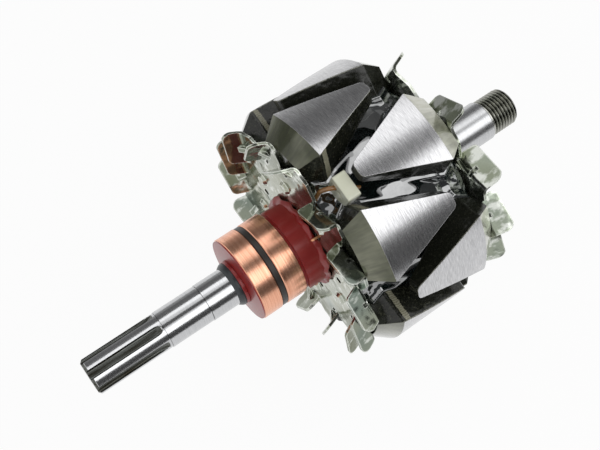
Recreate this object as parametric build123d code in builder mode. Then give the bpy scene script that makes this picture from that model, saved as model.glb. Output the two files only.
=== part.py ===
from build123d import *
import os
from math import atan2, cos, degrees, hypot, radians, sin, tan

# Rotor of a claw-pole alternator with a fan on each side and a splined tail that drives a vacuum pump.
# Millimetres. X runs along the shaft, from the splined tail at -X to the pulley thread at +X, and Z is up.
# X = 0 is the middle plane between the two poles.
# Angles round the shaft are in degrees, start at +Y and grow towards +Z.

# Poles
pole_radius = 51.5
claw_count = 6
rear_claw_angle = 71.4
pole_face = 27.0
pole_thickness = 10.0
valley_depth = 15.5
valley_edge = 1.0
bevel_drop = 6.1
claw_shoulder = 19.4
claw_reach = 12.4
claw_root_half_width = 14.8
claw_foot_half_width = 10.4
claw_tip_half_width = 2.85
claw_root_thickness = 13.7
claw_tip_thickness = 5.1
claw_tip_round = 2.2
claw_shoulder_round = 1.2
slot_width = 3.0
slot_depth = 2.9

# Shaft
core_shaft_radius = 9.25
front_seat_radius = 8.5
thread_radius = 8.0
rear_seat_radius = 7.5
ring_seat_radius = 8.0
spline_radius = 7.25
neck_radius = 7.7
tail_end = -122.8
spline_end = -92.1
seat_line = -73.5
ring_seat_start = -59.3
core_shaft_back = -28.2
front_shoulder = 30.4
front_seat_end = 62.9
thread_end = 75.6
line_width = 0.5
line_depth = 0.4
tail_chamfer = 1.1
thread_chamfer = 1.0
centre_radius = 2.2
centre_depth = 3.6

# Spline grooves
groove_count = 6
groove_angle = 45.0
groove_width = 3.7
groove_depth = 1.4
groove_corner = 0.9
groove_full_end = -98.2
groove_cutter_radius = 14.0
groove_cutter_turn = 40.0
groove_cutter_height = 4.0

# Magnet core, bobbin and field winding
winding_depth = 9.5
core_clearance = 0.1
bobbin_wall = 1.5
bobbin_flange = 1.3
bobbin_inset = 0.3
wrap_clearance = 1.5
wrap_thickness = 0.7
wrap_edge = 0.6

# Lead clips, one on each side of the shaft. A clip's angle is counted from the claw tip beside it
clip_shift = 1.6
clip_half_thickness = 2.7
clip_half_width = 5.2
clip_height = 10.6
clip_sink = 1.0
clip_clearance = 0.2
clip_corner = 0.8
clip_slot_drop = 3.9
clip_slot_height = 1.2
clip_slot_length = 6.6
clip_slot_shift = 0.9
clip_slot_depth = 1.6

# Leads. A lead leaves the winding in front of its clip, goes through the clip and down the pole's face
lead_diameter = 1.8
copper_diameter = 1.1
lead_start = 5.7
lead_rise_start = 2.9
lead_rise = 2.0
lead_depth = 3.0
lead_overhang = 1.1
lead_knee = 3.0
lead_knee_height = 5.0
lead_foot = 1.6
lead_foot_height = 0.4
lead_angles = [2.6, 1.8, -3.4, -6.0, -6.0]
lead_bends = [2.4, 3.0, 3.0, 2.4, 1.5]
joint_reach = 1.0
joint_radius = 20.2
joint_angle = 119.0
window_radius = 1.6
ring_lead_radius = 12.6
ring_lead_exit = -30.7
ring_lead_bend = 1.1

# Slip rings and their moulding
ring_radius = 17.4
ring_wall = 1.8
ring_edge = 0.3
outer_ring_start = -57.4
outer_ring_end = -49.35
inner_ring_start = -46.85
inner_ring_end = -38.4
separator_radius = 17.15
flange_radius = 16.6
flange_end = -29.6
rim_radius = 17.1
rim_plane = -57.9
moulding_nose = -58.5
boss_radius = 18.3
boss_start = -37.6
boss_end = -29.4
boss_angle = 53.0
boss_arc = 130.0
boss_root = 4.0
boss_overlap = 1.0
collar_radius = 9.2
collar_edge = -60.3
collar_nose = -62.4
collar_nose_radius = 8.0

# Fans
sheet = 1.2
fan_bore_radius = 9.6
bend_radius = 2.6
bend_flange = 4.6
rear_angles = [9.0, 26.0, 56.5, 77.5, 107.6, 133.8, 162.6, 187.0, 208.0, 236.0, 259.0, 290.0, 321.0, 349.5]
rear_inset = 10.1
rear_sweep = 43.0
rear_width = 16.0
rear_height = 8.2
rear_lean = 2.5
rear_skew = 2.2
front_angles = [5.0, 58.0, 98.5, 131.0, 159.5, 186.0, 212.0, 239.0, 266.0, 292.0, 317.0, 341.0]
front_inset = 9.9
front_sweep = 40.0
front_width = 16.6
front_height = 8.4
front_lean = 3.2
front_skew = 0.8
blade_inner_round = 2.4
blade_outer_round = 3.2
gusset_leg = 4.4
gusset_width = 2.6
dimple_width = 1.5
dimple_reach = 3.6
dimple_depth = 1.1
petal_edge_inset = 6.9
petal_notch_inset = 11.5
relief_length = 2.6
relief_width = 1.2
relief_inward = 2.6
fan_hole_radius = 1.4
fan_hole_ring = 23.4
fan_hole_angles = [8.0, 173.0, 236.0]
dome_count = 8
dome_start = 22.5
dome_ring = 27.2
dome_radius = 3.2
dome_height = 1.3
dome_taper = 35

front_claw_angle = rear_claw_angle + 180 / claw_count
pole_inner_face = pole_face - pole_thickness
valley_radius = pole_radius - valley_depth
bevel_foot_radius = pole_radius - bevel_drop
claw_root_underside = pole_radius - claw_root_thickness
claw_tip_underside = pole_radius - claw_tip_thickness
wrap_radius = claw_root_underside - wrap_clearance
winding_radius = wrap_radius - wrap_thickness
bobbin_flange_radius = wrap_radius - bobbin_inset
bobbin_bore = winding_radius - winding_depth - bobbin_wall
core_radius = bobbin_bore - core_clearance
clip_angle = front_claw_angle + clip_shift
clip_back = -pole_inner_face - clip_half_thickness
clip_front = -pole_inner_face + clip_half_thickness
clip_top_radius = valley_radius + clip_height
lead_radius = clip_top_radius - lead_depth
joint_plane = -pole_face - joint_reach
groove_floor = spline_radius - groove_depth
ring_bore = ring_radius - ring_wall
fan_face = pole_face + sheet
rear_middle = pole_radius - rear_inset
front_middle = pole_radius - front_inset


def at(x, radius, angle):
    """The point at this place along the shaft, this radius and this angle round it."""
    return (x, radius * cos(radians(angle)), radius * sin(radians(angle)))


def outward_plane(angle):
    """A plane on the axis that faces outward at the angle, with its x along the shaft."""
    return Plane.XY.rotated((angle - 90, 0, 0))


def side_plane(angle):
    """A plane on the axis, with its x along the shaft and its y outward at the angle."""
    return Plane.XY.rotated((angle, 0, 0))


def cross_plane(x):
    """A plane across the shaft, with its x along Y and its y along Z."""
    return Plane.YZ.offset(x)


def turned_by(*angles):
    """Places on the axis that turn what is put there round the shaft."""
    return Locations(*[Location((0, 0, 0), (angle, 0, 0)) for angle in angles])


def claw_pole(side, angle):
    """A forged pole: a disc whose claws reach over the winding to the other side."""
    tip = 0 if side > 0 else -1
    with BuildPart() as pole:
        with BuildSketch(*[outward_plane(angle + 360 / claw_count * k) for k in range(claw_count)]) as claw:
            Polygon(
                (side * pole_face, claw_foot_half_width),
                (side * claw_shoulder, claw_root_half_width),
                (-side * claw_reach, claw_tip_half_width),
                (-side * claw_reach, -claw_tip_half_width),
                (side * claw_shoulder, -claw_root_half_width),
                (side * pole_face, -claw_foot_half_width),
                align=None,
            )
            fillet(claw.vertices().group_by(Axis.X)[tip], claw_tip_round)
            fillet(claw.vertices().group_by(Axis.Y)[0], claw_shoulder_round)
            fillet(claw.vertices().group_by(Axis.Y)[-1], claw_shoulder_round)
        extrude(amount=pole_radius + 1)
        with BuildSketch(Plane.XY):
            Polygon(
                (side * pole_face, core_shaft_radius),
                (side * pole_face, bevel_foot_radius),
                (side * claw_shoulder, pole_radius),
                (-side * claw_reach, pole_radius),
                (-side * claw_reach, claw_tip_underside),
                (side * pole_inner_face, claw_root_underside),
                (side * pole_inner_face, core_shaft_radius),
                align=None,
            )
        revolve(axis=Axis.X, mode=Mode.INTERSECT)
        with BuildSketch(Plane.XY):
            Polygon(
                (side * pole_face, core_shaft_radius),
                (side * pole_face, valley_radius - valley_edge),
                (side * (pole_face - valley_edge), valley_radius),
                (side * pole_inner_face, valley_radius),
                (side * pole_inner_face, core_shaft_radius),
                align=None,
            )
        revolve(axis=Axis.X)
    return pole.part


def lead_path(turn):
    """The way of a winding lead: off the winding, through its clip and down the pole to the joint."""
    stations = [
        (clip_front + lead_start, winding_radius),
        (clip_front + lead_rise_start, winding_radius + lead_rise),
        (clip_back - lead_overhang, lead_radius),
        (lead_knee - pole_face, valley_radius + lead_knee_height),
        (lead_foot - pole_face, valley_radius + lead_foot_height),
    ]
    places = [at(x, radius, clip_angle + shift + turn) for (x, radius), shift in zip(stations, lead_angles)]
    places.append(at(lead_foot - pole_face, joint_radius, joint_angle + turn))
    places.append(at(joint_plane, joint_radius, joint_angle + turn))
    return places


def on_circle(radius, angle):
    """The Y and Z of a point at this radius and angle."""
    return (radius * cos(radians(angle)), radius * sin(radians(angle)))


def by_blade(middle, sweep, along, inward):
    """The radius and angle of a point by the blade at angle 0, along its bend and inward from it."""
    y = middle + along * sin(radians(sweep)) - inward * cos(radians(sweep))
    z = along * cos(radians(sweep)) + inward * sin(radians(sweep))
    return (hypot(y, z), degrees(atan2(z, y)))


def fan_blade(side, middle, sweep, width, height, lean, skew):
    """One blade at angle 0, bent up from the plate, with a pressed gusset in its bend."""
    along = Vector(0, sin(radians(sweep)), cos(radians(sweep)))
    across = Vector(0, cos(radians(sweep)), -sin(radians(sweep))) * side
    foot = (side * pole_face, middle, 0)
    half = width / 2
    with BuildPart() as blade:
        with BuildSketch(Plane(foot, x_dir=(side, 0, 0), z_dir=along)):
            with BuildLine():
                FilletPolyline(
                    (sheet / 2, -side * bend_flange),
                    (sheet / 2, 0),
                    (height, side * lean),
                    radius=bend_radius,
                )
            trace(line_width=sheet)
        extrude(amount=width, both=True)
        with BuildSketch(Plane(foot, x_dir=along, z_dir=across)) as outline:
            Polygon(
                (-half, -1),
                (half, -1),
                (half, sheet),
                (half + skew, height),
                (-half + skew, height),
                (-half, sheet),
                align=None,
            )
            fillet(outline.vertices().group_by(Axis.Y)[-1].sort_by(Axis.X)[0], blade_inner_round)
            fillet(outline.vertices().group_by(Axis.Y)[-1].sort_by(Axis.X)[-1], blade_outer_round)
        extrude(amount=20, both=True, mode=Mode.INTERSECT)
        with BuildSketch(Plane(foot, x_dir=(side, 0, 0), z_dir=along)):
            Polygon(
                (sheet / 2, 0),
                (gusset_leg, side * lean * gusset_leg / height),
                (sheet / 2, -side * gusset_leg),
                align=None,
            )
        extrude(amount=gusset_width / 2, both=True)
        with BuildSketch(Plane(foot, x_dir=(side, 0, 0), z_dir=along)):
            Polygon(
                (-sheet, -side * dimple_reach),
                (0, -side * dimple_reach),
                (dimple_depth, -side * dimple_depth / 2),
                (dimple_reach, side * (lean * dimple_reach / height + sheet / 2)),
                (dimple_reach, side * (lean * dimple_reach / height + 2 * sheet)),
                (-sheet, side * 2 * sheet),
                align=None,
            )
        extrude(amount=dimple_width / 2, both=True, mode=Mode.SUBTRACT)
    return blade.part


def fan(side, angles, middle, sweep, width, height, lean, skew):
    """A pressed sheet fan: a flat plate with a bent-up blade at each of the angles."""
    inner_radius, inner_angle = by_blade(middle, sweep, -width / 2, bend_radius)
    outer_radius, outer_angle = by_blade(middle, sweep, width / 2, bend_radius)
    edge = []
    for angle, following in zip(angles, angles[1:] + [angles[0] + 360]):
        start = angle + outer_angle
        end = following + inner_angle
        edge.append(on_circle(inner_radius, angle + inner_angle))
        edge.append(on_circle(outer_radius, start))
        edge.append(on_circle(pole_radius - petal_edge_inset, start + 0.4 * (end - start)))
        edge.append(on_circle(pole_radius - petal_notch_inset, start + 0.9 * (end - start)))
    with BuildPart() as body:
        with BuildSketch(cross_plane(side * pole_face)):
            Polygon(*edge, align=None)
            Circle(fan_bore_radius, mode=Mode.SUBTRACT)
        extrude(amount=side * sheet)
        with BuildSketch(cross_plane(side * (fan_face - sheet / 2))):
            with PolarLocations(dome_ring, dome_count, start_angle=dome_start):
                Circle(dome_radius)
        extrude(amount=side * (dome_height + sheet / 2), taper=dome_taper)
        blade = fan_blade(side, middle, sweep, width, height, lean, skew)
        for angle in angles:
            with turned_by(angle):
                add(blade)
        with BuildSketch(cross_plane(side * (pole_face - 1))):
            for angle in angles:
                radius, lag = by_blade(middle, sweep, relief_length - width / 2, relief_inward)
                with Locations(Location((*on_circle(radius, angle + lag), 0), angle - sweep)):
                    Rectangle(relief_width, relief_length)
        extrude(amount=side * (sheet + 2), mode=Mode.SUBTRACT)
    return body.part


def band(start, end, bore, radius, edge):
    """A plain ring round the shaft with broken outer edges."""
    with BuildPart() as ring:
        with BuildSketch(Plane.XY):
            Polygon(
                (start, bore),
                (start, radius - edge),
                (start + edge, radius),
                (end - edge, radius),
                (end, radius - edge),
                (end, bore),
                align=None,
            )
        revolve(axis=Axis.X)
    return ring.part


with BuildPart() as groove_cutter:
    with BuildLine(side_plane(groove_angle)) as cutter_way:
        floor_line = Line((tail_end - 2, groove_floor), (groove_full_end, groove_floor))
        JernArc(start=floor_line @ 1, tangent=floor_line % 1, radius=groove_cutter_radius, arc_size=groove_cutter_turn)
    with BuildSketch(Plane(cutter_way.line @ 0, x_dir=side_plane(groove_angle).z_dir, z_dir=(1, 0, 0))) as cutter_face:
        Rectangle(groove_width, groove_cutter_height, align=(Align.CENTER, Align.MAX))
        fillet(cutter_face.vertices().group_by(Axis.Y)[-1], groove_corner)
    sweep()

with BuildPart() as shaft:
    with BuildSketch(Plane.XY):
        Polygon(
            (tail_end + centre_depth, 0),
            (tail_end, centre_radius),
            (tail_end, spline_radius - tail_chamfer),
            (tail_end + tail_chamfer, spline_radius),
            (spline_end, spline_radius),
            (spline_end, rear_seat_radius - line_depth),
            (spline_end + line_width, rear_seat_radius - line_depth),
            (spline_end + line_width, rear_seat_radius),
            (seat_line - line_width, rear_seat_radius),
            (seat_line - line_width, rear_seat_radius - line_depth),
            (seat_line, rear_seat_radius - line_depth),
            (seat_line, neck_radius),
            (ring_seat_start, neck_radius),
            (ring_seat_start, ring_seat_radius),
            (core_shaft_back, ring_seat_radius),
            (core_shaft_back, core_shaft_radius),
            (front_shoulder, core_shaft_radius),
            (front_shoulder, front_seat_radius),
            (front_seat_end - line_width, front_seat_radius),
            (front_seat_end, thread_radius),
            (thread_end - thread_chamfer, thread_radius),
            (thread_end, thread_radius - thread_chamfer),
            (thread_end, centre_radius),
            (thread_end - centre_depth, 0),
            align=None,
        )
    revolve(axis=Axis.X)
    with turned_by(*[360 / groove_count * k for k in range(groove_count)]):
        add(groove_cutter.part, mode=Mode.SUBTRACT)
shaft.part.label = "shaft"

with BuildPart() as rotor_core:
    with BuildSketch(cross_plane(-pole_inner_face)):
        Circle(core_radius)
        Circle(core_shaft_radius, mode=Mode.SUBTRACT)
    extrude(amount=2 * pole_inner_face)
rotor_core.part.label = "rotor_core"

with BuildPart() as coil_bobbin:
    with BuildSketch(Plane.XY):
        Polygon(
            (-pole_inner_face, bobbin_bore),
            (-pole_inner_face, bobbin_flange_radius),
            (-pole_inner_face + bobbin_flange, bobbin_flange_radius),
            (-pole_inner_face + bobbin_flange, bobbin_bore + bobbin_wall),
            (pole_inner_face - bobbin_flange, bobbin_bore + bobbin_wall),
            (pole_inner_face - bobbin_flange, bobbin_flange_radius),
            (pole_inner_face, bobbin_flange_radius),
            (pole_inner_face, bobbin_bore),
            align=None,
        )
    revolve(axis=Axis.X)
coil_bobbin.part.label = "coil_bobbin"


def coil_lead_solid(turn, diameter):
    """A round body along the way of a winding lead."""
    with BuildPart() as lead:
        with BuildLine() as way:
            FilletPolyline(*lead_path(turn), radius=lead_bends)
        with BuildSketch(Plane(way.line @ 0, z_dir=way.line % 0)):
            Circle(diameter / 2)
        sweep()
    return lead.part


def ring_lead_solid(turn, ring_middle):
    """A bare copper lead from the joint in the fan window to the inside of its slip ring."""
    with BuildPart() as lead:
        with BuildLine(side_plane(joint_angle + turn)) as way:
            FilletPolyline(
                (joint_plane, joint_radius),
                (ring_lead_exit, joint_radius),
                (ring_lead_exit, ring_lead_radius),
                (ring_middle, ring_lead_radius),
                (ring_middle, ring_bore),
                radius=ring_lead_bend,
            )
        with BuildSketch(Plane(way.line @ 0, z_dir=way.line % 0)):
            Circle(copper_diameter / 2)
        sweep()
    return lead.part


with BuildPart() as coil_lead_1:
    add(coil_lead_solid(0, lead_diameter))
coil_lead_1.part.label = "coil_lead_1"

with BuildPart() as coil_lead_2:
    add(coil_lead_solid(180, lead_diameter))
coil_lead_2.part.label = "coil_lead_2"

with BuildPart() as field_coil:
    with BuildSketch(cross_plane(-pole_inner_face + bobbin_flange)):
        Circle(winding_radius)
        Circle(bobbin_bore + bobbin_wall, mode=Mode.SUBTRACT)
    extrude(amount=2 * (pole_inner_face - bobbin_flange))
    add(coil_lead_1.part, mode=Mode.SUBTRACT)
    add(coil_lead_2.part, mode=Mode.SUBTRACT)
field_coil.part.label = "field_coil"

with BuildPart() as coil_wrap:
    add(band(-pole_inner_face + bobbin_flange, pole_inner_face - bobbin_flange, winding_radius, wrap_radius, wrap_edge))
    add(coil_lead_1.part, mode=Mode.SUBTRACT)
    add(coil_lead_2.part, mode=Mode.SUBTRACT)
coil_wrap.part.label = "coil_wrap"

with BuildPart() as ring_lead_1:
    add(ring_lead_solid(0, (outer_ring_start + outer_ring_end) / 2))
ring_lead_1.part.label = "ring_lead_1"

with BuildPart() as ring_lead_2:
    add(ring_lead_solid(180, (inner_ring_start + inner_ring_end) / 2))
ring_lead_2.part.label = "ring_lead_2"


def flank_width(radius, away):
    """How far the flank of a claw, this angle away, is from the clip's middle at this radius."""
    return (radius * sin(radians(away)) - claw_root_half_width - clip_clearance) / cos(radians(away))


def flank_meeting(near, far):
    """The place under a clip where the flanks of the claws beside it would meet."""
    reach = (claw_root_half_width + clip_clearance) * (1 / cos(radians(near)) + 1 / cos(radians(far)))
    radius = reach / (tan(radians(near)) + tan(radians(far)))
    return (flank_width(radius, near), radius)


def lead_clip(turn):
    """A cream moulded clip between two claws, shaped to the claws, the valley and the winding under it."""
    foot = min(valley_radius, wrap_radius) - clip_sink
    near = 180 / claw_count + clip_shift
    far = 180 / claw_count - clip_shift
    with BuildPart() as clip:
        with BuildSketch(Plane((clip_back, 0, 0), x_dir=at(0, 1, clip_angle + turn - 90), z_dir=(1, 0, 0))) as face:
            with Locations((0, foot)):
                Rectangle(2 * clip_half_width, clip_top_radius - foot, align=(Align.CENTER, Align.MIN))
            Polygon(
                flank_meeting(near, far),
                (flank_width(clip_top_radius, near), clip_top_radius),
                (-flank_width(clip_top_radius, far), clip_top_radius),
                align=None,
                mode=Mode.INTERSECT,
            )
            fillet(face.vertices().group_by(Axis.Y)[-1], clip_corner)
        extrude(amount=clip_front - clip_back)
        with BuildSketch(Plane((clip_back, 0, 0), x_dir=at(0, 1, clip_angle + turn - 90), z_dir=(1, 0, 0))):
            with Locations((clip_slot_shift, clip_top_radius - clip_slot_drop)):
                Rectangle(clip_slot_length, clip_slot_height)
        extrude(amount=clip_slot_depth, mode=Mode.SUBTRACT)
        with BuildSketch(Plane.XY):
            Polygon(
                (-pole_face, 0),
                (-pole_face, valley_radius),
                (-pole_inner_face, valley_radius),
                (-pole_inner_face, wrap_radius),
                (0, wrap_radius),
                (0, 0),
                align=None,
            )
        revolve(axis=Axis.X, mode=Mode.SUBTRACT)
        add(coil_lead_solid(turn, lead_diameter), mode=Mode.SUBTRACT)
    return clip.part


with BuildPart() as lead_clip_1:
    add(lead_clip(0))
lead_clip_1.part.label = "lead_clip_1"

with BuildPart() as lead_clip_2:
    add(lead_clip(180))
lead_clip_2.part.label = "lead_clip_2"

with BuildPart() as rear_claw_pole:
    add(claw_pole(-1, rear_claw_angle))
    for turn in (0, 180):
        with BuildSketch(cross_plane(-pole_face)):
            with BuildLine():
                Polyline(
                    on_circle(joint_radius, joint_angle + turn),
                    on_circle(valley_radius + lead_foot_height, clip_angle + lead_angles[-1] + turn),
                    on_circle(valley_radius + lead_knee_height, clip_angle + lead_angles[-2] + turn),
                )
            trace(line_width=slot_width)
            with Locations(on_circle(joint_radius, joint_angle + turn)):
                Circle(slot_width / 2)
        extrude(amount=slot_depth, mode=Mode.SUBTRACT)
rear_claw_pole.part.label = "rear_claw_pole"

with BuildPart() as front_claw_pole:
    add(claw_pole(1, front_claw_angle))
front_claw_pole.part.label = "front_claw_pole"

with BuildPart() as slip_ring_moulding:
    with BuildSketch(Plane.XY):
        Polygon(
            (moulding_nose, ring_seat_radius),
            (moulding_nose, collar_radius),
            (rim_plane, rim_radius),
            (outer_ring_start, rim_radius),
            (outer_ring_start, ring_bore),
            (inner_ring_end, ring_bore),
            (inner_ring_end, flange_radius),
            (flange_end, flange_radius),
            (flange_end, ring_seat_radius),
            align=None,
        )
    revolve(axis=Axis.X)
    with BuildSketch(side_plane(boss_angle)):
        Polygon(
            (boss_start, flange_radius - boss_overlap),
            (boss_start, boss_radius),
            (boss_end, boss_radius),
            (boss_end, flange_radius - boss_root),
            (flange_end - boss_overlap, flange_radius - boss_root),
            (flange_end - boss_overlap, flange_radius - boss_overlap),
            align=None,
        )
    revolve(axis=Axis.X, revolution_arc=boss_arc)
    add(ring_lead_1.part, mode=Mode.SUBTRACT)
    add(ring_lead_2.part, mode=Mode.SUBTRACT)
slip_ring_moulding.part.label = "slip_ring_moulding"


with BuildPart() as slip_ring_outer:
    add(band(outer_ring_start, outer_ring_end, ring_bore, ring_radius, ring_edge))
slip_ring_outer.part.label = "slip_ring_outer"

with BuildPart() as ring_separator:
    add(band(outer_ring_end, inner_ring_start, ring_bore, separator_radius, ring_edge))
ring_separator.part.label = "ring_separator"

with BuildPart() as slip_ring_inner:
    add(band(inner_ring_start, inner_ring_end, ring_bore, ring_radius, ring_edge))
slip_ring_inner.part.label = "slip_ring_inner"

with BuildPart() as shaft_collar:
    with BuildSketch(Plane.XY):
        Polygon(
            (moulding_nose, ring_seat_radius),
            (moulding_nose, collar_radius),
            (collar_edge, collar_radius),
            (collar_nose, collar_nose_radius),
            (collar_nose, neck_radius),
            (ring_seat_start, neck_radius),
            (ring_seat_start, ring_seat_radius),
            align=None,
        )
    revolve(axis=Axis.X)
shaft_collar.part.label = "shaft_collar"

with BuildPart() as rear_fan:
    add(fan(-1, rear_angles, rear_middle, rear_sweep, rear_width, rear_height, rear_lean, rear_skew))
    with BuildSketch(cross_plane(-fan_face - 1)):
        with Locations(on_circle(joint_radius, joint_angle), on_circle(joint_radius, joint_angle + 180)):
            Circle(window_radius)
        with Locations(*[on_circle(fan_hole_ring, angle) for angle in fan_hole_angles]):
            Circle(fan_hole_radius)
    extrude(amount=sheet + 2, mode=Mode.SUBTRACT)
rear_fan.part.label = "rear_fan"

with BuildPart() as front_fan:
    add(fan(1, front_angles, front_middle, front_sweep, front_width, front_height, front_lean, front_skew))
front_fan.part.label = "front_fan"

os.makedirs("parts", exist_ok=True)
export_step(shaft.part, "parts/shaft.step")
export_step(rotor_core.part, "parts/rotor_core.step")
export_step(coil_bobbin.part, "parts/coil_bobbin.step")
export_step(field_coil.part, "parts/field_coil.step")
export_step(coil_wrap.part, "parts/coil_wrap.step")
export_step(coil_lead_1.part, "parts/coil_lead_1.step")
export_step(coil_lead_2.part, "parts/coil_lead_2.step")
export_step(ring_lead_1.part, "parts/ring_lead_1.step")
export_step(ring_lead_2.part, "parts/ring_lead_2.step")
export_step(lead_clip_1.part, "parts/lead_clip_1.step")
export_step(lead_clip_2.part, "parts/lead_clip_2.step")
export_step(rear_claw_pole.part, "parts/rear_claw_pole.step")
export_step(front_claw_pole.part, "parts/front_claw_pole.step")
export_step(slip_ring_moulding.part, "parts/slip_ring_moulding.step")
export_step(slip_ring_outer.part, "parts/slip_ring_outer.step")
export_step(ring_separator.part, "parts/ring_separator.step")
export_step(slip_ring_inner.part, "parts/slip_ring_inner.step")
export_step(shaft_collar.part, "parts/shaft_collar.step")
export_step(rear_fan.part, "parts/rear_fan.step")
export_step(front_fan.part, "parts/front_fan.step")
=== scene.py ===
# %% [markdown]
# # A claw-pole generator rotor
#
# The rotor is the turning part of a car generator. Two forged poles with six claws each close over a
# winding, a pressed fan sits on each pole, and a splined tail carries two copper slip rings in a red
# moulding. The solids come from the CAD model and stay as they are. This lesson gives them their
# finishes, adds the thread's turns and the waves of varnish, and sets up the light and the camera.

import math

import bmesh
import bpy
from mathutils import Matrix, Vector, noise


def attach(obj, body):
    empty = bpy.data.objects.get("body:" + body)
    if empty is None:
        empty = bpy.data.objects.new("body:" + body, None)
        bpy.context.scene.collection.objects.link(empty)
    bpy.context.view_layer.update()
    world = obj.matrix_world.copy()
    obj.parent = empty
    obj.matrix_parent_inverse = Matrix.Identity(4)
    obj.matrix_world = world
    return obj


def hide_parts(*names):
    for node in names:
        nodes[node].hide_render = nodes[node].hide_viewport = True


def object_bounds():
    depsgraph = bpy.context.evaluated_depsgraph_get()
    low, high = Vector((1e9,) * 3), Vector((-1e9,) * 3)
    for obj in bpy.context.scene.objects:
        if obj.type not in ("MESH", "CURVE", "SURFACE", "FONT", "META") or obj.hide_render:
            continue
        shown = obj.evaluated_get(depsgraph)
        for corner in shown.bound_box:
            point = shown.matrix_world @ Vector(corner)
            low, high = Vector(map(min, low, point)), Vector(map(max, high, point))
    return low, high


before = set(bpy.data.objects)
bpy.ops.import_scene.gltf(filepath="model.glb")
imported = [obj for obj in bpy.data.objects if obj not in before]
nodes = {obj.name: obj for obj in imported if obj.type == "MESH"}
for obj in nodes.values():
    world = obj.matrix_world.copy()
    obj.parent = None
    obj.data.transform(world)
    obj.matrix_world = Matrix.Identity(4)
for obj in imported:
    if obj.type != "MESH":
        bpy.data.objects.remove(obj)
cad_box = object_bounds()
print("nodes:", len(nodes))

# %% [markdown]
# ## Sizes
#
# Blender works in metres. These are the few sizes of the real parts that the finishes need: a finish
# that changes at an edge has to know where that edge is. X runs along the shaft, from the spline to the
# thread, and its zero is the middle between the two poles.

# %% Sizes of the poles and the shaft
MM = 0.001

# The poles. A claw's width is half at its tip, at its root and at the foot of its bevel.
POLE_RADIUS = 51.5 * MM
POLE_FACE = 27.0 * MM
POLE_INNER_FACE = 17.0 * MM
VALLEY_RADIUS = 36.0 * MM
CLAW_SHOULDER = 19.4 * MM
BEVEL_FOOT = 45.4 * MM
CLAW_REACH = 12.4 * MM
CLAW_TIP_HALF_WIDTH = 2.85 * MM
CLAW_ROOT_HALF_WIDTH = 14.8 * MM
CLAW_FOOT_HALF_WIDTH = 10.4 * MM
CLAW_COUNT = 6
REAR_CLAW_ANGLE = 71.4
FRONT_CLAW_ANGLE = REAR_CLAW_ANGLE + 180 / CLAW_COUNT

# The shaft.
SPLINE_END = -92.1 * MM
SPLINE_RADIUS = 7.25 * MM
SHAFT_STEPS = (-91.6 * MM, -73.6 * MM)
THREAD_START = 62.9 * MM
THREAD_END = 75.6 * MM
THREAD_RADIUS = 8.0 * MM
THREAD_PITCH = 1.5 * MM
print("length over all:", round((cad_box[1][0] - cad_box[0][0]) / MM, 1), "mm")

# %% [markdown]
# ## The camera
#
# The photo looks down on the rotor at 63 degrees, from the side of the splined tail. A 60 mm lens on a
# 36 mm sensor gives the same perspective. The camera could track a target with a constraint, but its
# place is known exactly, so plain numbers are simpler and never drift.

# %% Set up the camera
CAMERA_PLACE = (-0.12844, -0.13589, 0.34543)
CAMERA_TURN = math.radians(-36.176)
CAMERA_HEIGHT = math.radians(63.171)

camera_data = bpy.data.cameras.new("photo_camera")
camera_data.lens = 60.0
camera_data.sensor_width = 36.0
camera_data.clip_start = 0.01
camera = bpy.data.objects.new("photo_camera", camera_data)
camera.location = CAMERA_PLACE
camera.rotation_euler = (math.pi / 2 - CAMERA_HEIGHT, 0, CAMERA_TURN)
bpy.context.scene.collection.objects.link(camera)
bpy.context.scene.camera = camera
print("camera at", tuple(round(v, 3) for v in camera.location))

# %% [markdown]
# ## Working with shader nodes
#
# Every finish here is made of nodes, with no image. These short helpers each add one node, fill its
# sockets and hand back its output, so that a finish below reads as a list of what it is made of. A
# socket is filled either with a constant or with a link from another node's output.
#
# Most finishes need the same few steps. Noise gives an uneven value, Map Range picks the part of it that
# counts, Mix lays one colour over another by that value, and Bump turns a value into small relief. The
# Bevel node rounds the edges that the bump starts from, so that they catch a thin line of light.


# %% Helpers for shader nodes
def fill_socket(tree, socket, value):
    """Link an output to a socket, or set the socket to a number or a colour."""
    if isinstance(value, bpy.types.NodeSocket):
        tree.links.new(value, socket)
    else:
        socket.default_value = value


def add_node(tree, kind, *values, **settings):
    """Add a node, set its properties and fill its inputs in order. None leaves an input as it is."""
    node = tree.nodes.new(kind)
    for name, setting in settings.items():
        setattr(node, name, setting)
    for place, value in enumerate(values):
        if value is not None:
            fill_socket(tree, node.inputs[place], value)
    return node


def add_math(tree, operation, *values):
    """The output of one Math node."""
    return add_node(tree, "ShaderNodeMath", *values, operation=operation).outputs[0]


def add_noise(tree, where, scale, detail, roughness):
    """The value of a Noise texture. scale is in cells per metre."""
    return add_node(tree, "ShaderNodeTexNoise", where, None, scale, detail, roughness).outputs[0]


def map_range(tree, value, low, high, new_low=0.0, new_high=1.0):
    """The value carried over from one range to another, and held inside it."""
    return add_node(tree, "ShaderNodeMapRange", value, low, high, new_low, new_high).outputs[0]


def blend_colours(tree, amount, first, second, mode="MIX"):
    """The colour between first and second, each a colour or an output."""
    node = add_node(tree, "ShaderNodeMix", data_type="RGBA", blend_type=mode)
    for place, value in ((0, amount), (6, first), (7, second)):
        fill_socket(tree, node.inputs[place], value)
    return node.outputs[2]


def blend_values(tree, amount, first, second):
    """The number between first and second."""
    node = add_node(tree, "ShaderNodeMix", amount)
    for place, value in ((2, first), (3, second)):
        fill_socket(tree, node.inputs[place], value)
    return node.outputs[0]


def colour_ramp(tree, value, *stops):
    """The colour at this value on a ramp of (position, colour) stops."""
    node = add_node(tree, "ShaderNodeValToRGB", value)
    elements = node.color_ramp.elements
    elements[0].position, elements[0].color = stops[0]
    elements[1].position, elements[1].color = stops[-1]
    for position, colour in stops[1:-1]:
        elements.new(position).color = colour
    return node.outputs[0]


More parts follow.
